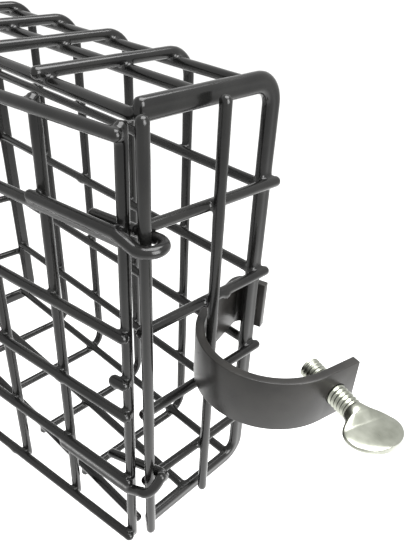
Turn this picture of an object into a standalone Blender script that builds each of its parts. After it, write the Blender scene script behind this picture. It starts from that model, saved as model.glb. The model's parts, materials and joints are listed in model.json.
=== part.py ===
"""Suet cage bird feeder with a pole clamp: a welded wire box, a wire door, a bent strap and a thumbscrew.

Metres, +Z up. X runs along the cage, with the clamp at its +X end. Y runs from the door to the back.
The origin is the axis of the pole that the clamp holds, at the strap's mid height.
"""

import math

import bmesh
import bpy
from mathutils import Matrix, Vector

# Wires. These solids are the steel that the cage is welded from, without its vinyl coat of 0.5 mm.
WIRE = 0.0018
LAYER = 0.0021
NESTED = 0.0021
CURVE_SIDES = 2
SHARP_ANGLE = math.radians(30)

# Cage: planes of the wires' centres.
CAGE_RIGHT = -0.0159
CAGE_WIDTH = 0.1270
CAGE_LEFT = CAGE_RIGHT - CAGE_WIDTH
CAGE_FRONT = -0.0310
CAGE_DEPTH = 0.0415
CAGE_BACK = CAGE_FRONT + CAGE_DEPTH
CAGE_TOP = 0.0631
CAGE_HEIGHT = 0.1228
CAGE_BOTTOM = CAGE_TOP - CAGE_HEIGHT
CORNER_RADIUS = 0.0065
ACROSS_CELLS = 5
UPRIGHT_CELLS = 5
END_CELL_WIDTH = 0.0275
END_CELL_HEIGHT = 0.02525
RIB_OVERHANG = 0.0010
END_RIB_SETBACK = 0.0024
FRONT_RAIL_SETBACK = 0.0022
BOTTOM_FRONT_RAIL_SETBACK = 0.0
BACK_RAIL_SETBACK = 0.0050
TOP_MIDDLE_RAIL = 0.0219
BOTTOM_MIDDLE_RAIL = 0.0173
RAIL_END_GAP = 0.0014

# End panels.
MIDDLE_POST = 0.0208
POST_TOP_PROUD = -0.0008
POST_BOTTOM_PROUD = -0.0028
END_BAR_FIRST = 0.0231
END_BAR_PITCH = 0.0256
END_BAR_COUNT = 4
END_BAR_DROP = 0.0017
END_BAR_FRONT = -0.0003
END_BAR_BACK_PROUD = 0.0018

# Door, as it stands when shut, and how far it stands open.
DOOR_AJAR = math.radians(7.6)
DOOR_LEAN = math.radians(-1.1)
DOOR_POST_PLANE = -0.0010
DOOR_BAR_PLANE = DOOR_POST_PLANE - LAYER
DOOR_FIRST_POST = 0.0053
DOOR_POST_PITCH = 0.0234
DOOR_TOP_BAR = 0.0045
DOOR_FIRST_BAR = 0.0253
DOOR_BAR_PITCH = 0.02426
DOOR_BAR_OVERHANG = 0.0015
DOOR_POST_TOP = 0.0015
DOOR_POST_BOTTOM = 0.0018
STUB_DROP = 0.0635
STUB_LENGTH = 0.0030

# Hinge hooks, which are bent round the hinge post.
HOOK_RADIUS = 0.0032
HOOK_BEND_OUT = 0.0007
HOOK_FRONT_LEG = 0.0300
HOOK_REAR_LEG = 0.0180
HOOK_KNEE = 0.0045
UPPER_HOOK_DROPS = (0.0233, 0.0251, 0.0251, 0.0253, 0.0260)
LOWER_HOOK_DROPS = (0.1008, 0.0980, 0.0930, 0.0966, 0.1030)
UPPER_HOOK_SPREAD = 1.0
LOWER_HOOK_SPREAD = 1.16

# Latch hook on the far post.
LATCH_EYE_RADIUS = 0.0036
LATCH_EYE_START = math.radians(30)
LATCH_EYE_TURN = math.radians(240)
LATCH_ARM = 0.0106
LATCH_TIP = 0.0050
LATCH_BEND_RADIUS = 0.0020
LATCH_DROP = 0.0634
LATCH_REST_ANGLE = math.radians(200)

# Clamp strap: flat bar bent on edge round the pole, threaded through the end panel and out of the back.
STRAP_HEIGHT = 0.0145
STRAP_THICK = 0.0022
STRAP_RADIUS = 0.0185
OUTER_LEG_LEAN = math.radians(12.6)
OUTER_LEG = 0.0100
INNER_LEG_START = math.radians(195)
INNER_LEG = 0.0135
END_BEND_RADIUS = 0.0035
END_BEND_TURN = math.radians(90)
END_LEG = 0.0050
ARC_STEP = math.radians(7.5)

# Thumbscrew, number 12 with 24 threads an inch, a little off square to the outer leg.
SCREW_RADIUS = 0.00275
SCREW_HOLE_RADIUS = 0.00305
HOLE_CUT_REACH = 0.0100
SCREW_ALONG_LEG = 0.00365
SCREW_TILT = math.radians(4.5)
SCREW_ROLL = math.radians(-6)
TIP_REACH = 0.0106
TIP_LENGTH = 0.0018
TIP_CHAMFER = 0.0006
SHANK_OUT = 0.0064
NECK_LENGTH = 0.0018
PADDLE_LENGTH = 0.01084
PADDLE_HALF_WIDTH = 0.0078
PADDLE_HALF_THICK = 0.0010
PADDLE_NECK_ANGLE = math.radians(25)
PADDLE_END_ANGLE = math.radians(176)
PADDLE_RINGS = 12
NECK_THINNING = 0.2
SCREW_SIDES = 24
PIECE_GAP = 0.0003


def remove_everything():
    """Empties the file of the objects it starts with."""
    for thing in list(bpy.data.objects):
        bpy.data.objects.remove(thing, do_unlink=True)


def new_collection(name, in_render=True):
    """A collection in the scene, left out of renders when it only holds cutters."""
    collection = bpy.data.collections.new(name)
    collection.hide_render = not in_render
    bpy.context.scene.collection.children.link(collection)
    return collection


def new_material(name, colour, roughness, metallic):
    """A plain Principled material."""
    material = bpy.data.materials.new(name)
    material.use_nodes = True
    shader = material.node_tree.nodes["Principled BSDF"]
    shader.inputs["Base Color"].default_value = (*colour, 1.0)
    shader.inputs["Roughness"].default_value = roughness
    shader.inputs["Metallic"].default_value = metallic
    return material


def arc(centre, radius, start, end, step=math.radians(15)):
    """Points on an arc in the plane of the two coordinates of centre, from angle start to angle end."""
    count = max(2, math.ceil(abs(end - start) / step))
    angles = [start + (end - start) * i / count for i in range(count + 1)]
    return [(centre[0] + radius * math.cos(a), centre[1] + radius * math.sin(a)) for a in angles]


def wire(name, points, collection, material, parent=None):
    """A round steel wire along the points."""
    curve = bpy.data.curves.new(name, "CURVE")
    curve.dimensions = "3D"
    curve.bevel_depth = WIRE / 2
    curve.bevel_resolution = CURVE_SIDES
    curve.use_fill_caps = True
    spline = curve.splines.new("POLY")
    spline.points.add(len(points) - 1)
    for point, place in zip(spline.points, points):
        point.co = (*place, 1.0)
    curve.materials.append(material)
    piece = bpy.data.objects.new(name, curve)
    collection.objects.link(piece)
    piece.parent = parent
    return piece


def mesh_piece(name, points, faces, collection, material, parent=None):
    """A closed mesh as an object, with its round faces shaded smooth."""
    mesh = bpy.data.meshes.new(name)
    mesh.from_pydata(points, [], faces)
    mesh.update()
    mesh.shade_smooth()
    mesh.set_sharp_from_angle(angle=SHARP_ANGLE)
    mesh.materials.append(material)
    piece = bpy.data.objects.new(name, mesh)
    collection.objects.link(piece)
    piece.parent = parent
    return piece


def loft(name, rings, collection, material, parent):
    """Rings of equal numbers of points, joined into one closed solid."""
    count = len(rings[0])
    points = [point for ring in rings for point in ring]
    faces = [tuple(reversed(range(count)))]
    for r in range(len(rings) - 1):
        for i in range(count):
            j = (i + 1) % count
            faces.append((r * count + i, r * count + j, (r + 1) * count + j, (r + 1) * count + i))
    last = (len(rings) - 1) * count
    faces.append(tuple(range(last, last + count)))
    return mesh_piece(name, points, faces, collection, material, parent)


def spaced(first, end_cell, cells, length):
    """Places of the lines of a grid whose two end cells differ from the equal ones between them."""
    inner = (length - 2 * end_cell) / (cells - 2)
    return [first] + [first + end_cell + i * inner for i in range(cells - 1)] + [first + length]


def wrap_path(x, front, inset=0.0):
    """A U-shaped wire that runs over the top, down the back and forward under the bottom, at x."""
    top, back, bottom = CAGE_TOP - inset, CAGE_BACK - inset, CAGE_BOTTOM + inset
    radius = CORNER_RADIUS - inset
    upper = arc((back - radius, top - radius), radius, math.pi / 2, 0)
    lower = arc((back - radius, bottom + radius), radius, 0, -math.pi / 2)
    path = [(CAGE_FRONT + front, top)] + upper + lower + [(CAGE_FRONT + front, bottom)]
    return [(x, y, z) for y, z in path]


def build_mesh_wrap(collection, steel):
    """The mesh bent round the top, the back and the bottom: U-shaped ribs with straight rails inside them."""
    ribs = spaced(-CAGE_RIGHT, END_CELL_WIDTH, ACROSS_CELLS, CAGE_WIDTH)
    for i, place in enumerate(ribs):
        at_end = i in (0, ACROSS_CELLS)
        front = END_RIB_SETBACK if at_end else -RIB_OVERHANG
        wire(f"rib_{i + 1}", wrap_path(-place, front), collection, steel)
    levels = spaced(-CAGE_TOP, END_CELL_HEIGHT, UPRIGHT_CELLS, CAGE_HEIGHT)
    top, bottom = CAGE_TOP - LAYER, CAGE_BOTTOM + LAYER
    rails = {
        "rail_top_front": (CAGE_FRONT + FRONT_RAIL_SETBACK, top),
        "rail_top_middle": (CAGE_FRONT + TOP_MIDDLE_RAIL, top),
        "rail_top_back": (CAGE_BACK - BACK_RAIL_SETBACK, top),
        "rail_bottom_back": (CAGE_BACK - BACK_RAIL_SETBACK, bottom),
        "rail_bottom_middle": (CAGE_FRONT + BOTTOM_MIDDLE_RAIL, bottom),
        "rail_bottom_front": (CAGE_FRONT + BOTTOM_FRONT_RAIL_SETBACK, bottom),
    }
    for i, level in enumerate(levels[1:-1]):
        rails[f"rail_back_{i + 1}"] = (CAGE_BACK - LAYER, -level)
    for name, (y, z) in rails.items():
        ends = (CAGE_RIGHT - RAIL_END_GAP, CAGE_LEFT + RAIL_END_GAP)
        wire(name, [(x, y, z) for x in ends], collection, steel)


def build_end_panel(side, x, outward, collection, steel):
    """One end of the cage: a frame wire inside the end rib, bars across it, and posts outside them."""
    wire(f"{side}_frame_wire", wrap_path(x, END_RIB_SETBACK, NESTED), collection, steel)
    bar_x = x + outward * LAYER
    for i in range(END_BAR_COUNT):
        z = CAGE_TOP - END_BAR_FIRST - i * END_BAR_PITCH
        front = (bar_x, CAGE_FRONT + END_BAR_FRONT, z)
        back = (bar_x, CAGE_BACK + END_BAR_BACK_PROUD, z - END_BAR_DROP)
        wire(f"{side}_end_bar_{i + 1}", [front, back], collection, steel)
    post_x = x + outward * 2 * LAYER
    for name, y in (("front_post", CAGE_FRONT), ("middle_post", CAGE_FRONT + MIDDLE_POST)):
        ends = (CAGE_TOP + POST_TOP_PROUD, CAGE_BOTTOM - POST_BOTTOM_PROUD)
        wire(f"{side}_{name}", [(post_x, y, z) for z in ends], collection, steel)
    return post_x


def hook_path(drops, spread):
    """A hinge hook, with how far it is below the cage's top at its front leg, three places and its end."""
    leg, before, beside, behind, rear = drops
    front = -HOOK_RADIUS * spread
    path = [(-HOOK_FRONT_LEG, front, -leg), (-HOOK_KNEE, front, -leg)]
    for x, y in arc((HOOK_BEND_OUT, 0), HOOK_RADIUS, -math.pi / 2, math.pi / 2):
        end = before if y < 0 else behind
        drop = beside + (end - beside) * abs(y) / HOOK_RADIUS
        path.append((x, y * spread if y < 0 else y, -drop))
    return path + [(-HOOK_REAR_LEG, HOOK_RADIUS, -rear)]


def build_door(post_x, collection, steel):
    """The door, hung on the right front post by two hooks. Its mesh leans about a line at mid height."""
    hinge = bpy.data.objects.new("door_hinge_axis", None)
    hinge.location = (post_x, CAGE_FRONT, CAGE_TOP)
    hinge.rotation_euler = (0, 0, DOOR_AJAR)
    collection.objects.link(hinge)
    panel = bpy.data.objects.new("door_panel_axis", None)
    panel.location = (0, 0, -CAGE_TOP)
    panel.rotation_euler = (DOOR_LEAN, 0, 0)
    panel.parent = hinge
    collection.objects.link(panel)
    posts = [-DOOR_FIRST_POST - i * DOOR_POST_PITCH for i in range(ACROSS_CELLS)]
    posts.append(posts[-1] - END_CELL_WIDTH)
    drops = [DOOR_TOP_BAR] + [DOOR_FIRST_BAR + i * DOOR_BAR_PITCH for i in range(UPRIGHT_CELLS)]
    bars = [CAGE_TOP - drop for drop in drops]
    post_ends = (bars[0] + DOOR_POST_TOP, bars[-1] - DOOR_POST_BOTTOM)
    for i, x in enumerate(posts):
        wire(f"door_post_{i + 1}", [(x, DOOR_POST_PLANE, z) for z in post_ends], collection, steel, panel)
    bar_ends = (posts[0] + DOOR_BAR_OVERHANG, posts[-1] - DOOR_BAR_OVERHANG)
    for i, z in enumerate(bars):
        wire(f"door_bar_{i + 1}", [(x, DOOR_BAR_PLANE, z) for x in bar_ends], collection, steel, panel)
    stub_ends = (posts[0] + DOOR_BAR_OVERHANG, posts[0] - STUB_LENGTH)
    stub_z = CAGE_TOP - STUB_DROP
    wire("door_stub", [(x, DOOR_BAR_PLANE, stub_z) for x in stub_ends], collection, steel, panel)
    upper = hook_path(UPPER_HOOK_DROPS, UPPER_HOOK_SPREAD)
    lower = hook_path(LOWER_HOOK_DROPS, LOWER_HOOK_SPREAD)
    wire("upper_hinge_hook", upper, collection, steel, hinge)
    wire("lower_hinge_hook", lower, collection, steel, hinge)


def build_latch(post_x, collection, steel):
    """A hook that turns on the left front post, to reach round the door's last post."""
    axis = bpy.data.objects.new("latch_axis", None)
    axis.location = (post_x, CAGE_FRONT, CAGE_TOP - LATCH_DROP)
    axis.rotation_euler = (0, 0, LATCH_REST_ANGLE)
    collection.objects.link(axis)
    eye = arc((0, 0), LATCH_EYE_RADIUS, LATCH_EYE_START, LATCH_EYE_START + LATCH_EYE_TURN)
    corner = (LATCH_ARM, -LATCH_EYE_RADIUS + LATCH_BEND_RADIUS)
    bend = arc(corner, LATCH_BEND_RADIUS, math.radians(-90), 0, math.radians(30))
    path = eye + bend + [(bend[-1][0], bend[-1][1] + LATCH_TIP - LATCH_BEND_RADIUS)]
    wire("door_latch", [(x, y, 0) for x, y in path], collection, steel, axis)


def direction(angle):
    """A unit vector in X and Y."""
    return Vector((math.cos(angle), math.sin(angle)))


def strap_line():
    """The middle line of the strap's thickness, from its screw end to its far end."""
    inner_end = INNER_LEG_START - 2 * math.pi
    main = arc((0, 0), STRAP_RADIUS, -OUTER_LEG_LEAN, inner_end, ARC_STEP)
    start = Vector(main[0]) + direction(math.pi / 2 - OUTER_LEG_LEAN) * OUTER_LEG
    inner_leg = direction(INNER_LEG_START - math.pi / 2) * INNER_LEG
    bend_centre = direction(INNER_LEG_START) * (STRAP_RADIUS - END_BEND_RADIUS) + inner_leg
    bend_end = INNER_LEG_START - END_BEND_TURN
    bend = arc(bend_centre, END_BEND_RADIUS, INNER_LEG_START, bend_end)
    end = Vector(bend[-1]) + direction(bend_end - math.pi / 2) * END_LEG
    return [tuple(start)] + main + bend + [tuple(end)]


def build_clamp(collection, cutters, steel):
    """The strap: its middle line raised and thickened, with the screw's hole through its outer leg."""
    sheet = bmesh.new()
    foot = [sheet.verts.new((x, y, -STRAP_HEIGHT / 2)) for x, y in strap_line()]
    edges = [sheet.edges.new(pair) for pair in zip(foot, foot[1:])]
    raised = bmesh.ops.extrude_edge_only(sheet, edges=edges)["geom"]
    top = [item for item in raised if isinstance(item, bmesh.types.BMVert)]
    bmesh.ops.translate(sheet, verts=top, vec=(0, 0, STRAP_HEIGHT))
    bmesh.ops.recalc_face_normals(sheet, faces=sheet.faces)
    mesh = bpy.data.meshes.new("clamp_strap")
    sheet.to_mesh(mesh)
    sheet.free()
    mesh.materials.append(steel)
    strap = bpy.data.objects.new("clamp_strap", mesh)
    collection.objects.link(strap)
    thicken = strap.modifiers.new("thickness", "SOLIDIFY")
    thicken.thickness = STRAP_THICK
    thicken.offset = 0
    thicken.use_even_offset = True
    cut = strap.modifiers.new("screw_hole", "BOOLEAN")
    cut.operation = "DIFFERENCE"
    cut.solver = "EXACT"
    cut.object = build_drill(cutters, steel)


def screw_matrix():
    """The screw's own frame: its origin on the strap's outer face, and its X out along its axis."""
    leg = Vector((math.sin(OUTER_LEG_LEAN), math.cos(OUTER_LEG_LEAN), 0))
    outward = Vector((math.cos(OUTER_LEG_LEAN), -math.sin(OUTER_LEG_LEAN), 0))
    place = outward * (STRAP_RADIUS + STRAP_THICK / 2) + leg * SCREW_ALONG_LEG
    turn = Matrix.Rotation(-OUTER_LEG_LEAN - SCREW_TILT, 4, "Z") @ Matrix.Rotation(SCREW_ROLL, 4, "X")
    return Matrix.Translation(place) @ turn


def screw_ring(along, half_width, half_thick):
    """One ring of points round the screw's axis."""
    turns = [2 * math.pi * i / SCREW_SIDES for i in range(SCREW_SIDES)]
    return [(along, half_width * math.cos(t), half_thick * math.sin(t)) for t in turns]


def build_drill(collection, material):
    """The cutter that makes the screw's hole in the strap."""
    ends = (-HOLE_CUT_REACH, HOLE_CUT_REACH)
    rings = [screw_ring(x, SCREW_HOLE_RADIUS, SCREW_HOLE_RADIUS) for x in ends]
    drill = loft("screw_hole_cutter", rings, collection, material, None)
    drill.matrix_world = screw_matrix()
    drill.hide_render = True
    drill.display_type = "WIRE"
    return drill


def paddle_rings():
    """The screw's flat head, which widens from the shank like half of a spoon and comes to a round end."""
    rings = []
    for i in range(1, PADDLE_RINGS):
        angle = PADDLE_NECK_ANGLE + (PADDLE_END_ANGLE - PADDLE_NECK_ANGLE) * i / PADDLE_RINGS
        reach = (math.cos(PADDLE_NECK_ANGLE) - math.cos(angle)) / 2
        width = PADDLE_HALF_WIDTH * math.sin(angle)
        neck_thick = SCREW_RADIUS * (1 - NECK_THINNING * i)
        thick = max(PADDLE_HALF_THICK, neck_thick) * min(1.0, width / PADDLE_HALF_THICK)
        rings.append(screw_ring(SHANK_OUT + NECK_LENGTH + PADDLE_LENGTH * reach, width, thick))
    return rings


def build_thumbscrew(collection, zinc):
    """The thumbscrew in two nodes, which meet near its tip: the tip, and the shank with its flat head."""
    axis = bpy.data.objects.new("thumbscrew_axis", None)
    axis.matrix_world = screw_matrix()
    collection.objects.link(axis)
    narrow = SCREW_RADIUS - TIP_CHAMFER
    tip = [
        screw_ring(-TIP_REACH, narrow, narrow),
        screw_ring(-TIP_REACH + TIP_CHAMFER, SCREW_RADIUS, SCREW_RADIUS),
        screw_ring(-TIP_REACH + TIP_LENGTH, SCREW_RADIUS, SCREW_RADIUS),
    ]
    loft("screw_tip", tip, collection, zinc, axis)
    shank_ends = (-TIP_REACH + TIP_LENGTH + PIECE_GAP, SHANK_OUT)
    shank = [screw_ring(x, SCREW_RADIUS, SCREW_RADIUS) for x in shank_ends]
    loft("thumbscrew", shank + paddle_rings(), collection, zinc, axis)


def main():
    remove_everything()
    feeder = new_collection("suet_cage_feeder")
    cutters = new_collection("cutters", in_render=False)
    cage_steel = new_material("cage_wire", (0.012, 0.012, 0.011), 0.32, 0.0)
    door_steel = new_material("door_wire", (0.012, 0.012, 0.011), 0.30, 0.0)
    strap_steel = new_material("clamp_strap", (0.035, 0.033, 0.031), 0.42, 0.3)
    zinc = new_material("zinc_screw", (0.62, 0.62, 0.58), 0.30, 1.0)
    build_mesh_wrap(feeder, cage_steel)
    right_post = build_end_panel("right", CAGE_RIGHT, 1, feeder, cage_steel)
    left_post = build_end_panel("left", CAGE_LEFT, -1, feeder, cage_steel)
    build_door(right_post, feeder, door_steel)
    build_latch(left_post, feeder, door_steel)
    build_clamp(feeder, cutters, strap_steel)
    build_thumbscrew(feeder, zinc)


main()
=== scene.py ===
"""Looks for the suet cage feeder: the vinyl skin over its steel wires, the clamp strap, the threaded screw.

Every length is in metres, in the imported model's own frame. The steel wires of the CAD model are the cores:
each body's wires get one seamless skin of vinyl, as a dip coat gives them.
"""

import math
import random

import bmesh
import bpy
import numpy as np
from mathutils import Matrix, Vector, noise
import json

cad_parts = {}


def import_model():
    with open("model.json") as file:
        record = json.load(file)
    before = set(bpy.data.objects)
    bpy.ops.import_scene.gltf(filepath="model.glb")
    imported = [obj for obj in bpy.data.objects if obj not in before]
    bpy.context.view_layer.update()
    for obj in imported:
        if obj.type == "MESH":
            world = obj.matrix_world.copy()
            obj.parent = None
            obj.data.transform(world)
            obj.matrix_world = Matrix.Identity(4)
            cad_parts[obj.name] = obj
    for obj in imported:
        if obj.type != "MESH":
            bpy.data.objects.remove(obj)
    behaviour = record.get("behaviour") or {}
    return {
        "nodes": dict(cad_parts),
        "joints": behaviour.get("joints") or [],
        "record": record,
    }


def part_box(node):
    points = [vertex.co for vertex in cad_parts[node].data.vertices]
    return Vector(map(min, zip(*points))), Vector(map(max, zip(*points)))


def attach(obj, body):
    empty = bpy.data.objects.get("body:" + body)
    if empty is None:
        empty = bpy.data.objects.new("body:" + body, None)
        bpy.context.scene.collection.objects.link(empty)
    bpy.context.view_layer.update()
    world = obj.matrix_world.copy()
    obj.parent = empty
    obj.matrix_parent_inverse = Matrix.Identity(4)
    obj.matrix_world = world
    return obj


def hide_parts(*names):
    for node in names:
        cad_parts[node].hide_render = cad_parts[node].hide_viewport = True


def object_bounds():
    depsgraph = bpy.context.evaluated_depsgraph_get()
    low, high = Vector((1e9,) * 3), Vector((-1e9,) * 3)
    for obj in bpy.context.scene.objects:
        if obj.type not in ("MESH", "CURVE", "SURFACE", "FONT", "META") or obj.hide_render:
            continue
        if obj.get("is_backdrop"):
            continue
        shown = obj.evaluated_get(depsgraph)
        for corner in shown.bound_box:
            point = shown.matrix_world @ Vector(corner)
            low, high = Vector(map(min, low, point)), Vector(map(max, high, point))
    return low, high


# Bends of the steel cores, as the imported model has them.
CORE_RADIUS = 0.0009
RIB_CORNER = 0.0065
FRAME_CORNER = 0.0044
HOOK_RADIUS = 0.0032
HOOK_BEND_OUT = 0.0007
HOOK_FRONT_LEG = 0.0300
HOOK_REAR_LEG = 0.0180
HOOK_KNEE = 0.0045
CAGE_TOP = 0.0631
# How far each hook is below the cage's top at its leg, before, beside and behind the post, and at its end.
# Then how much wider than the plain half turn its front is.
HOOKS = {
    "upper_hinge_hook": ((0.0233, 0.0251, 0.0251, 0.0253, 0.0260), 1.0),
    "lower_hinge_hook": ((0.1008, 0.0980, 0.0930, 0.0966, 0.1030), 1.16),
}
DOOR_AJAR = math.radians(7.6)
LATCH_EYE_RADIUS = 0.0036
LATCH_EYE_START = math.radians(30)
LATCH_EYE_TURN = math.radians(240)
LATCH_ARM = 0.0106
LATCH_TIP = 0.0050
LATCH_BEND_RADIUS = 0.0020
LATCH_REST_ANGLE = math.radians(200)
FINE_ARC = math.radians(5)

# Vinyl coat.
COAT_RADIUS = 0.00134
END_TRIM = 0.0007
BASE_OVERRUN = 0.0008
BLEND = 0.00028
REACH = 0.0030
CAGE_VOXEL = 0.00064
DOOR_VOXEL = 0.00052
SETTLING_STEPS = 4
LONGEST_STEP = 0.0004
WAVE = 0.00004
WAVE_SCALE = 140.0
WEB_RADIUS = 0.00112
BAR_WEB_RADIUS = 0.0009
DRIP_SEED = 7
DRIP_SHARE = 0.35
DRIP_RADIUS = 0.00118
DRIP_HALF_LENGTH = 0.0005
DRIP_DROPS = (0.0003, 0.0007)
DRIP_PLACES = (0.1, 0.9)
LEVEL_WITHIN = 0.004

# Strap.
STRAP_HEIGHT = 0.0145
STRAP_THICK = 0.0022
STRAP_RADIUS = 0.0185
OUTER_LEG_LEAN = math.radians(12.6)
OUTER_LEG = 0.0100
INNER_LEG_START = math.radians(195)
INNER_LEG = 0.0135
END_BEND_RADIUS = 0.0035
END_BEND_TURN = math.radians(90)
END_LEG = 0.0050
STRAP_EDGE = 0.00028
CORNER_CUT = 0.0003

# Screw.
SCREW_RADIUS = 0.00275
SCREW_ALONG_LEG = 0.00365
SCREW_TILT = math.radians(4.5)
SCREW_ROLL = math.radians(-6)
SCREW_HOLE_RADIUS = 0.00285
THREAD_PITCH = 0.0254 / 24
THREAD_DEPTH = 0.00042
TIP_REACH = 0.0106
TIP_DOME = 0.0006
SHANK_OUT = 0.0064
NECK_LENGTH = 0.0018
PADDLE_LENGTH = 0.01084
PADDLE_HALF_WIDTH = 0.0078
PADDLE_HALF_THICK = 0.0010
PADDLE_NECK_ANGLE = math.radians(25)
PADDLE_END_ANGLE = math.radians(177)
PADDLE_RINGS = 40
PADDLE_LEAST_WIDTH = 0.0004
NECK_THINNING = 2.4
SCREW_SIDES = 64
RINGS_A_PITCH = 14
THREAD_ROUNDNESS = 0.8


# Stage.
FLOOR_HALF = 4.0
FLOOR_DROP = 0.35

# ---------------------------------------------------------------- paths of the wires


def arc(centre, radius, start, end, step=FINE_ARC):
    """Points on an arc in a plane, from angle start to angle end."""
    count = max(2, math.ceil(abs(end - start) / step))
    angles = [start + (end - start) * i / count for i in range(count + 1)]
    return [(centre[0] + radius * math.cos(a), centre[1] + radius * math.sin(a)) for a in angles]


def straight_path(node):
    """The two ends of a straight core, from the node's mesh."""
    points = np.array([vertex.co for vertex in node.data.vertices])
    centre = points.mean(axis=0)
    along = np.linalg.svd(points - centre, full_matrices=False)[2][0]
    reach = (points - centre) @ along
    ends = (reach.min(), reach.max())
    return np.array([points[np.abs(reach - end) < 1e-5].mean(axis=0) for end in ends])


def wrap_path(name, corner):
    """A U-shaped core that runs over the top, down the back and forward under the bottom, from its box."""
    low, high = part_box(name)
    x = (low.x + high.x) / 2
    back, top, bottom = high.y - CORE_RADIUS, high.z - CORE_RADIUS, low.z + CORE_RADIUS
    upper = arc((back - corner, top - corner), corner, math.pi / 2, 0)
    lower = arc((back - corner, bottom + corner), corner, 0, -math.pi / 2)
    return np.array([(x, y, z) for y, z in [(low.y, top)] + upper + lower + [(low.y, bottom)]])


def placed(points, pivot, angle, z):
    """Points in a hinge's own plane, turned and moved to the hinge's place."""
    turn = Matrix.Rotation(angle, 2)
    return np.array([(*(turn @ Vector(point) + Vector(pivot[:2])), z) for point in points])


def hook_path(name, pivot):
    """A hinge hook: a front leg, a half turn round the hinge post and a rear leg, at changing heights."""
    (leg, before, beside, behind, rear), spread_out = HOOKS[name]
    front = -HOOK_RADIUS * spread_out
    flat = [(-HOOK_FRONT_LEG, front), (-HOOK_KNEE, front)]
    drops = [leg, leg]
    for x, y in arc((HOOK_BEND_OUT, 0), HOOK_RADIUS, -math.pi / 2, math.pi / 2):
        end = before if y < 0 else behind
        drops.append(beside + (end - beside) * abs(y) / HOOK_RADIUS)
        flat.append((x, y * spread_out if y < 0 else y))
    path = placed(flat + [(-HOOK_REAR_LEG, HOOK_RADIUS)], pivot, DOOR_AJAR, 0)
    path[:, 2] = CAGE_TOP - np.array(drops + [rear])
    return path


def latch_path(pivot):
    """The latch: an open eye round its post, an arm and a tip that is bent up to catch the door."""
    eye = arc((0, 0), LATCH_EYE_RADIUS, LATCH_EYE_START, LATCH_EYE_START + LATCH_EYE_TURN)
    corner = (LATCH_ARM, -LATCH_EYE_RADIUS + LATCH_BEND_RADIUS)
    bend = arc(corner, LATCH_BEND_RADIUS, -math.pi / 2, 0)
    tip = (bend[-1][0], bend[-1][1] + LATCH_TIP - LATCH_BEND_RADIUS)
    return placed(eye + bend + [tip], pivot, LATCH_REST_ANGLE, pivot[2])


def trimmed(path, cut):
    """The path with this much taken off each end, where the coat's round end then starts."""
    path = path.copy()
    for end, inner in ((0, 1), (-1, -2)):
        along = path[inner] - path[end]
        path[end] += along / np.linalg.norm(along) * cut
    return path


# ---------------------------------------------------------------- the vinyl skin


def nearest_on(points, path):
    """Each point's distance to a path, and its nearest place on it."""
    gap = np.full(len(points), np.inf)
    place = np.zeros_like(points)
    for start, end in zip(path[:-1], path[1:]):
        along = end - start
        share = np.clip((points - start) @ along / (along @ along), 0, 1)
        foot = start + share[:, None] * along
        here = np.linalg.norm(points - foot, axis=1)
        closer = here < gap
        gap[closer] = here[closer]
        place[closer] = foot[closer]
    return gap, place


def webs(body, paths):
    """Vinyl that fills the narrow gaps between neighbouring wires, as strands of its own."""
    if body == "cage":
        pairs = (("rib_1", "right_frame_wire"), ("rib_6", "left_frame_wire"))
        return [(trimmed((paths[rib] + paths[inner]) / 2, END_TRIM), WEB_RADIUS) for rib, inner in pairs]
    if body == "door":
        leg = paths["lower_hinge_hook"][:2]
        feet = nearest_on(leg, paths["door_bar_5"])[1]
        return [((leg + feet) / 2, BAR_WEB_RADIUS)]
    return []


def drips(body, paths):
    """Small beads that ran down and set on the lower side of some wires."""
    chance = random.Random(DRIP_SEED + len(paths))
    found = []
    for wire, path in paths.items():
        if body == "latch" or chance.random() > DRIP_SHARE:
            continue
        start, end = path[0], path[-1]
        if abs(start[2] - end[2]) > LEVEL_WITHIN:
            continue
        place = start + (end - start) * chance.uniform(*DRIP_PLACES)
        low = place - np.array((0, 0, chance.uniform(*DRIP_DROPS)))
        side = np.array((DRIP_HALF_LENGTH, 0, 0))
        found.append((np.array((low - side, low + side)), DRIP_RADIUS))
    return found


def skin_field(points, strands):
    """The height of each point over the skin, and the skin's direction outwards there.

    A strand is a path and a radius. Where strands meet, their surfaces flow together.
    """
    total = np.zeros(len(points))
    pull = np.zeros_like(points)
    for path, radius in strands:
        reach = radius + REACH
        near = np.all((points > path.min(axis=0) - reach) & (points < path.max(axis=0) + reach), axis=1)
        if not near.any():
            continue
        gap, place = nearest_on(points[near], path)
        weight = np.exp(np.clip(-(gap - radius) / BLEND, -60, 60))
        total[near] += weight
        pull[near] += weight[:, None] * (points[near] - place) / np.maximum(gap, 1e-9)[:, None]
    total = np.maximum(total, 1e-30)
    return -BLEND * np.log(total), pull / total[:, None]


def waves(points):
    """Slow swelling and thinning of the coat along the wires."""
    return np.array([noise.noise(Vector(p) * WAVE_SCALE) for p in points]) * WAVE


def tube_mesh(strands, sides=12):
    """Plain closed tubes along the strands, in one mesh."""
    joined = bmesh.new()
    for path, radius in strands:
        ends = trimmed(path, -BASE_OVERRUN)
        tangents = np.gradient(ends, axis=0)
        tangents /= np.linalg.norm(tangents, axis=1)[:, None]
        side = np.cross(tangents[0], (0.31, 0.52, 0.79))
        rings = []
        for point, tangent in zip(ends, tangents):
            side = side - tangent * (side @ tangent)
            side /= np.linalg.norm(side)
            other = np.cross(tangent, side)
            ring = []
            for i in range(sides):
                angle = 2 * math.pi * i / sides
                across = math.cos(angle) * side + math.sin(angle) * other
                ring.append(joined.verts.new(point + radius * across))
            rings.append(ring)
        for ring, after in zip(rings, rings[1:]):
            for i in range(sides):
                j = (i + 1) % sides
                joined.faces.new((ring[i], ring[j], after[j], after[i]))
        joined.faces.new(list(reversed(rings[0])))
        joined.faces.new(rings[-1])
    mesh = bpy.data.meshes.new("tubes")
    joined.to_mesh(mesh)
    joined.free()
    return mesh


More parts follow.
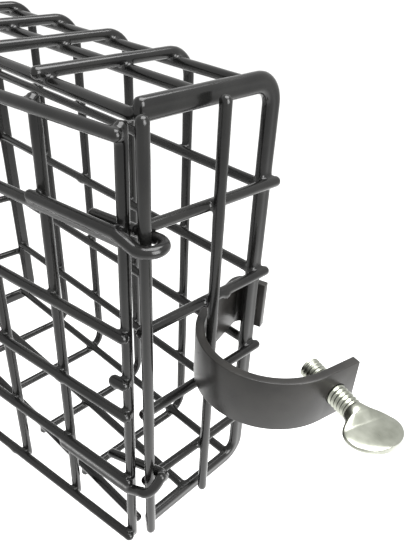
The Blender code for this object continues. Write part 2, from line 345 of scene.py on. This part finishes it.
def remeshed(mesh, voxel):
    """One even mesh round everything that the given mesh encloses."""
    holder = bpy.data.objects.new("remesh_source", mesh)
    bpy.context.scene.collection.objects.link(holder)
    modifier = holder.modifiers.new("voxels", "REMESH")
    modifier.mode = "VOXEL"
    modifier.voxel_size = voxel
    graph = bpy.context.evaluated_depsgraph_get()
    result = bpy.data.meshes.new_from_object(holder.evaluated_get(graph), depsgraph=graph)
    bpy.data.objects.remove(holder)
    return result


def skin_piece(name, strands, voxel, material):
    """A seamless skin over the strands, as an object."""
    mesh = remeshed(tube_mesh(strands), voxel)
    count = len(mesh.vertices)
    points = np.empty(count * 3)
    mesh.vertices.foreach_get("co", points)
    points = points.reshape(-1, 3)
    edges = np.empty(len(mesh.edges) * 2, np.int32)
    mesh.edges.foreach_get("vertices", edges)
    edges = edges.reshape(-1, 2)
    ends = np.concatenate([edges[:, 0], edges[:, 1]])
    others = np.concatenate([edges[:, 1], edges[:, 0]])
    neighbours = np.bincount(ends, minlength=count)
    swell = waves(points)
    outwards = None
    for step in range(SETTLING_STEPS):
        if step:
            middle = np.stack([np.bincount(ends, points[others, a], count) for a in range(3)], axis=1)
            points = (points + middle / neighbours[:, None]) / 2
        for _ in range(2):
            height, outwards = skin_field(points, strands)
            slope = np.maximum((outwards**2).sum(axis=1), 0.05)
            move = np.clip(height - swell, -LONGEST_STEP, LONGEST_STEP)
            points = points - (move / slope)[:, None] * outwards
    mesh.vertices.foreach_set("co", points.astype(np.float32).ravel())
    mesh.update()
    mesh.shade_smooth()
    mesh.materials.clear()
    mesh.materials.append(material)
    mesh.name = name
    piece = bpy.data.objects.new(name, mesh)
    bpy.context.scene.collection.objects.link(piece)
    print(f"SKIN {name}: {count} vertices, worst height {np.abs(height - swell).max() * 1e6:.0f} um")
    return piece


# ---------------------------------------------------------------- materials


def material_base(name):
    """A new node material and its Principled shader."""
    material = bpy.data.materials.new(name)
    material.use_nodes = True
    return material, material.node_tree.nodes["Principled BSDF"]


def noise_node(tree, scale, detail=2.0, roughness=0.5):
    """A noise texture in object coordinates, which are metres in the model's frame."""
    place = tree.nodes.new("ShaderNodeTexCoord")
    node = tree.nodes.new("ShaderNodeTexNoise")
    node.inputs["Scale"].default_value = scale
    node.inputs["Detail"].default_value = detail
    node.inputs["Roughness"].default_value = roughness
    tree.links.new(place.outputs["Object"], node.inputs["Vector"])
    return node


def spread(tree, source, low, high):
    """A value from 0 to 1 mapped to low to high."""
    node = tree.nodes.new("ShaderNodeMapRange")
    node.inputs["To Min"].default_value = low
    node.inputs["To Max"].default_value = high
    tree.links.new(source, node.inputs["Value"])
    return node.outputs["Result"]


def colour_ramp(tree, source, stops):
    """A value mapped to colours."""
    node = tree.nodes.new("ShaderNodeValToRGB")
    ramp = node.color_ramp
    while len(ramp.elements) < len(stops):
        ramp.elements.new(0.5)
    for element, (place, colour) in zip(ramp.elements, stops):
        element.position = place
        element.color = (*colour, 1.0)
    tree.links.new(source, node.inputs["Fac"])
    return node.outputs["Color"]


def bump(tree, shader, height, distance, strength=1.0):
    """Surface relief from a height."""
    node = tree.nodes.new("ShaderNodeBump")
    node.inputs["Distance"].default_value = distance
    node.inputs["Strength"].default_value = strength
    tree.links.new(height, node.inputs["Height"])
    tree.links.new(node.outputs["Normal"], shader.inputs["Normal"])


def vinyl(name):
    """Black dipped vinyl: glossy, a little uneven, with dull patches."""
    material, shader = material_base(name)
    tree = material.node_tree
    patches = noise_node(tree, 90.0, 3.0)
    stops = [(0.35, (0.004, 0.004, 0.004)), (0.7, (0.008, 0.008, 0.0075))]
    tone = colour_ramp(tree, patches.outputs["Fac"], stops)
    tree.links.new(tone, shader.inputs["Base Color"])
    shader.inputs["Specular IOR Level"].default_value = 0.32
    tree.links.new(spread(tree, patches.outputs["Fac"], 0.14, 0.26), shader.inputs["Roughness"])
    skin = noise_node(tree, 900.0, 3.0)
    bump(tree, shader, skin.outputs["Fac"], 0.00001)
    return material


def strap_coat():
    """Dark grey powder coat with a fine grain."""
    material, shader = material_base("strap_powder_coat")
    tree = material.node_tree
    shader.inputs["Specular IOR Level"].default_value = 0.25
    cloud = noise_node(tree, 160.0, 4.0)
    stops = [(0.3, (0.011, 0.0105, 0.010)), (0.75, (0.020, 0.019, 0.0175))]
    tone = colour_ramp(tree, cloud.outputs["Fac"], stops)
    tree.links.new(tone, shader.inputs["Base Color"])
    tree.links.new(spread(tree, cloud.outputs["Fac"], 0.24, 0.34), shader.inputs["Roughness"])
    grain = noise_node(tree, 4200.0, 2.0)
    bump(tree, shader, grain.outputs["Fac"], 0.00001)
    return material


def zinc():
    """Bright zinc plate, its tone and roughness varied by a cloudy noise."""
    material, shader = material_base("zinc_plate")
    tree = material.node_tree
    shader.inputs["Metallic"].default_value = 1.0
    cloud = noise_node(tree, 220.0, 3.0)
    tone = colour_ramp(tree, cloud.outputs["Fac"], [(0.3, (0.24, 0.25, 0.21)), (0.75, (0.38, 0.39, 0.34))])
    tree.links.new(tone, shader.inputs["Base Color"])
    tree.links.new(spread(tree, cloud.outputs["Fac"], 0.24, 0.36), shader.inputs["Roughness"])
    return material


# ---------------------------------------------------------------- strap


def direction(angle):
    """A unit vector in X and Y."""
    return Vector((math.cos(angle), math.sin(angle)))


def strap_line():
    """The middle line of the strap's thickness, from its screw end to its far end."""
    main = arc((0, 0), STRAP_RADIUS, -OUTER_LEG_LEAN, INNER_LEG_START - 2 * math.pi, math.radians(3))
    start = Vector(main[0]) + direction(math.pi / 2 - OUTER_LEG_LEAN) * OUTER_LEG
    inner_leg = direction(INNER_LEG_START - math.pi / 2) * INNER_LEG
    bend_centre = direction(INNER_LEG_START) * (STRAP_RADIUS - END_BEND_RADIUS) + inner_leg
    bend_end = INNER_LEG_START - END_BEND_TURN
    bend = arc(bend_centre, END_BEND_RADIUS, INNER_LEG_START, bend_end)
    end = Vector(bend[-1]) + direction(bend_end - math.pi / 2) * END_LEG
    return [tuple(start)] + main + bend + [tuple(end)]


def evaluated_copy(piece):
    """The piece's mesh with its modifiers applied."""
    graph = bpy.context.evaluated_depsgraph_get()
    return bpy.data.meshes.new_from_object(piece.evaluated_get(graph), depsgraph=graph)


def build_strap(material):
    """The strap, with its screw hole, softened edges and one corner a little blunted."""
    sheet = bmesh.new()
    foot = [sheet.verts.new((x, y, -STRAP_HEIGHT / 2)) for x, y in strap_line()]
    edges = [sheet.edges.new(pair) for pair in zip(foot, foot[1:])]
    raised = bmesh.ops.extrude_edge_only(sheet, edges=edges)["geom"]
    top = [item for item in raised if isinstance(item, bmesh.types.BMVert)]
    bmesh.ops.translate(sheet, verts=top, vec=(0, 0, STRAP_HEIGHT))
    bmesh.ops.recalc_face_normals(sheet, faces=sheet.faces)
    start = Vector((*strap_line()[0], STRAP_HEIGHT / 2))
    corner = [vertex for vertex in sheet.verts if (vertex.co - start).length < 1e-6]
    bmesh.ops.bevel(sheet, geom=corner, offset=CORNER_CUT, affect="VERTICES")
    mesh = bpy.data.meshes.new("pole_strap")
    sheet.to_mesh(mesh)
    sheet.free()
    strap = bpy.data.objects.new("pole_strap", mesh)
    bpy.context.scene.collection.objects.link(strap)
    thicken = strap.modifiers.new("thickness", "SOLIDIFY")
    thicken.thickness = STRAP_THICK
    thicken.offset = 0
    thicken.use_even_offset = True
    soften = strap.modifiers.new("edges", "BEVEL")
    soften.width = STRAP_EDGE
    soften.segments = 3
    soften.limit_method = "ANGLE"
    soften.angle_limit = math.radians(40)
    drill = turned_piece("strap_drill", [(-0.004, SCREW_HOLE_RADIUS), (0.004, SCREW_HOLE_RADIUS)], material)
    cut = strap.modifiers.new("screw_hole", "BOOLEAN")
    cut.operation = "DIFFERENCE"
    cut.solver = "EXACT"
    cut.object = drill
    finished = evaluated_copy(strap)
    strap.modifiers.clear()
    strap.data = finished
    bpy.data.objects.remove(drill)
    finished.shade_smooth()
    finished.set_sharp_from_angle(angle=math.radians(35))
    finished.materials.clear()
    finished.materials.append(material)
    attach(strap, "cage")
    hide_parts("clamp_strap")
    return strap


# ---------------------------------------------------------------- screw


def screw_matrix():
    """The screw's own frame: its origin on the strap's outer face, and its X out along its axis."""
    leg = Vector((math.sin(OUTER_LEG_LEAN), math.cos(OUTER_LEG_LEAN), 0))
    outward = Vector((math.cos(OUTER_LEG_LEAN), -math.sin(OUTER_LEG_LEAN), 0))
    place = outward * (STRAP_RADIUS + STRAP_THICK / 2) + leg * SCREW_ALONG_LEG
    turn = Matrix.Rotation(-OUTER_LEG_LEAN - SCREW_TILT, 4, "Z") @ Matrix.Rotation(SCREW_ROLL, 4, "X")
    return Matrix.Translation(place) @ turn


def ring_mesh(name, rings, material):
    """Rings of equal numbers of points, joined into a closed object in the screw's frame."""
    solid = bmesh.new()
    rows = [[solid.verts.new(point) for point in ring] for ring in rings]
    count = len(rows[0])
    for row, after in zip(rows, rows[1:]):
        for i in range(count):
            j = (i + 1) % count
            solid.faces.new((row[i], row[j], after[j], after[i]))
    solid.faces.new(list(reversed(rows[0])))
    solid.faces.new(rows[-1])
    mesh = bpy.data.meshes.new(name)
    solid.to_mesh(mesh)
    solid.free()
    mesh.transform(screw_matrix())
    mesh.shade_smooth()
    mesh.set_sharp_from_angle(angle=math.radians(50))
    mesh.materials.append(material)
    piece = bpy.data.objects.new(name, mesh)
    bpy.context.scene.collection.objects.link(piece)
    return piece


def circle(along, radius, sides):
    """Points round the screw's axis. The radius may be a function of the turn."""
    turns = [2 * math.pi * i / sides for i in range(sides)]
    radii = [radius(t) if callable(radius) else radius for t in turns]
    return [(along, r * math.cos(t), r * math.sin(t)) for r, t in zip(radii, turns)]


def turned_piece(name, profile, material, sides=48):
    """A piece turned about the screw's axis from places along it and their radii."""
    return ring_mesh(name, [circle(along, radius, sides) for along, radius in profile], material)


def thread_radius(along, turn, fade):
    """The thread's surface: a rounded V that climbs one pitch a turn and runs out where fade is 0."""
    phase = (along / THREAD_PITCH - turn / (2 * math.pi)) % 1.0
    depth = 0.5 - 0.5 * math.cos(2 * math.pi * phase)
    return SCREW_RADIUS - THREAD_DEPTH * depth**THREAD_ROUNDNESS * fade


def paddle_ring(along, half_width, half_thick, sides):
    """A section of the flat head: a rounded oblong."""
    points = []
    for i in range(sides):
        turn = 2 * math.pi * i / sides
        c, s = math.cos(turn), math.sin(turn)
        y = half_width * math.copysign(abs(c) ** 0.85, c)
        z = half_thick * math.copysign(abs(s) ** 0.6, s)
        points.append((along, y, z))
    return points


def build_screw(material):
    """The thumbscrew: a threaded shank that is flattened into an oval head, and its domed tip."""
    sides = SCREW_SIDES
    start, stop = -TIP_REACH + TIP_DOME, SHANK_OUT
    steps = round((stop - start) / THREAD_PITCH * RINGS_A_PITCH)
    rings = []
    for i in range(steps + 1):
        along = start + (stop - start) * i / steps
        fade = min(1.0, (along - start) / THREAD_PITCH * 1.2, (stop - along) / THREAD_PITCH)
        rings.append(circle(along, lambda turn: thread_radius(along, turn, max(0.0, fade)), sides))
    for i in range(1, PADDLE_RINGS + 1):
        share = i / PADDLE_RINGS
        angle = PADDLE_NECK_ANGLE + (PADDLE_END_ANGLE - PADDLE_NECK_ANGLE) * share
        reach = (math.cos(PADDLE_NECK_ANGLE) - math.cos(angle)) / 2
        width = max(PADDLE_HALF_WIDTH * math.sin(angle), PADDLE_LEAST_WIDTH)
        neck = SCREW_RADIUS * (1 - NECK_THINNING * share)
        thick = max(PADDLE_HALF_THICK, neck) * min(1.0, width / PADDLE_HALF_THICK)
        rings.append(paddle_ring(stop + NECK_LENGTH + PADDLE_LENGTH * reach, width, thick, sides))
    screw = ring_mesh("threaded_thumbscrew", rings, material)
    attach(screw, "screw")
    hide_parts("thumbscrew")
    dome = [(-TIP_REACH, 0.0016), (-TIP_REACH + 0.0001, 0.0020), (-TIP_REACH + 0.0003, 0.0024)]
    dome += [(-TIP_REACH + TIP_DOME, SCREW_RADIUS), (-TIP_REACH + TIP_DOME + 0.0002, SCREW_RADIUS - 0.0003)]
    tip = turned_piece("domed_screw_tip", dome, material, sides)
    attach(tip, "screw_feed")
    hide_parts("screw_tip")


# ---------------------------------------------------------------- stage


def area_light(name, place, target, size, power, colour=(1, 1, 1)):
    """A soft rectangular light that faces a point."""
    light = bpy.data.lights.new(name, "AREA")
    light.shape = "RECTANGLE"
    light.size, light.size_y = size
    light.energy = power
    light.color = colour
    holder = bpy.data.objects.new(name, light)
    holder.location = place
    holder.rotation_euler = (Vector(target) - Vector(place)).to_track_quat("-Z", "Y").to_euler()
    bpy.context.scene.collection.objects.link(holder)
    return holder


def build_stage(centre):
    """A plain pale floor, a pale world and soft lights."""
    world = bpy.data.worlds.new("studio")
    world.use_nodes = True
    world.node_tree.nodes["Background"].inputs["Color"].default_value = (1.0, 1.0, 0.995, 1)
    world.node_tree.nodes["Background"].inputs["Strength"].default_value = 1.08
    bpy.context.scene.world = world
    mesh = bpy.data.meshes.new("floor")
    signs = ((-1, -1), (1, -1), (1, 1), (-1, 1))
    corners = [(x * FLOOR_HALF, y * FLOOR_HALF, 0) for x, y in signs]
    mesh.from_pydata(corners, [], [(0, 1, 2, 3)])
    floor = bpy.data.objects.new("floor", mesh)
    floor.location = (0, 0, -FLOOR_DROP)
    bpy.context.scene.collection.objects.link(floor)
    material, shader = material_base("floor_paper")
    shader.inputs["Base Color"].default_value = (0.96, 0.96, 0.955, 1)
    shader.inputs["Roughness"].default_value = 0.9
    mesh.materials.append(material)
    floor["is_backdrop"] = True
    area_light("overhead", centre + Vector((0.1, 0.1, 0.6)), centre, (0.5, 0.5), 9.0)
    area_light("window", centre + Vector((0.60, 0.02, 0.22)), centre, (0.35, 0.5), 7.0)


def build_camera():
    """The camera, close to the clamp end of the cage and above it."""
    camera = bpy.data.cameras.new("camera")
    camera.lens = 36.88
    camera.sensor_width = 36.0
    camera.shift_x = -0.0284
    camera.shift_y = 0.0314
    camera.clip_start = 0.01
    holder = bpy.data.objects.new("camera", camera)
    right = Vector((0.7252, 0.6861, 0.0584))
    up = Vector((-0.4261, 0.3805, 0.8208))
    back = right.cross(up).normalized()
    right = up.cross(back).normalized()
    turn = Matrix((right, up.normalized(), back)).transposed()
    holder.matrix_world = Matrix.Translation((0.0618, -0.0919, 0.0929)) @ turn.to_4x4()
    bpy.context.scene.collection.objects.link(holder)
    bpy.context.scene.camera = holder


# ---------------------------------------------------------------- making it all


def main():
    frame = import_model()
    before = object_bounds()
    nodes = frame["nodes"]
    pivots = {joint["name"]: joint["pos_m"] for joint in frame["joints"] if "pos_m" in joint}
    bodies = frame["record"]["behaviour"]["bodies"]
    bpy.context.scene.view_settings.view_transform = "Standard"
    cage_vinyl, door_vinyl = vinyl("cage_vinyl"), vinyl("door_vinyl")
    skins = (
        ("cage_skin", "cage", "cage_wire", CAGE_VOXEL, cage_vinyl),
        ("door_skin", "door", "door_wire", DOOR_VOXEL, door_vinyl),
        ("latch_skin", "latch", "door_wire", DOOR_VOXEL, door_vinyl),
    )
    for name, body, slot, voxel, material in skins:
        wires = [node for node in bodies[body] if node != "clamp_strap"]
        paths = {}
        for wire in wires:
            if wire.startswith("rib_"):
                path = wrap_path(wire, RIB_CORNER)
            elif wire.endswith("frame_wire"):
                path = wrap_path(wire, FRAME_CORNER)
            elif wire.endswith("hinge_hook"):
                path = hook_path(wire, pivots["door_hinge"])
            elif wire == "door_latch":
                path = latch_path(pivots["latch_turn"])
            else:
                path = straight_path(nodes[wire])
            paths[wire] = path
        strands = [(trimmed(path, END_TRIM), COAT_RADIUS) for path in paths.values()]
        strands += webs(body, paths) + drips(body, paths)
        skin = skin_piece(name, strands, voxel, material)
        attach(skin, body)
        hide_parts(*wires)
    build_strap(strap_coat())
    build_screw(zinc())
    centre = (before[0] + before[1]) / 2
    build_stage(centre)
    build_camera()
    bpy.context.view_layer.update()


main()
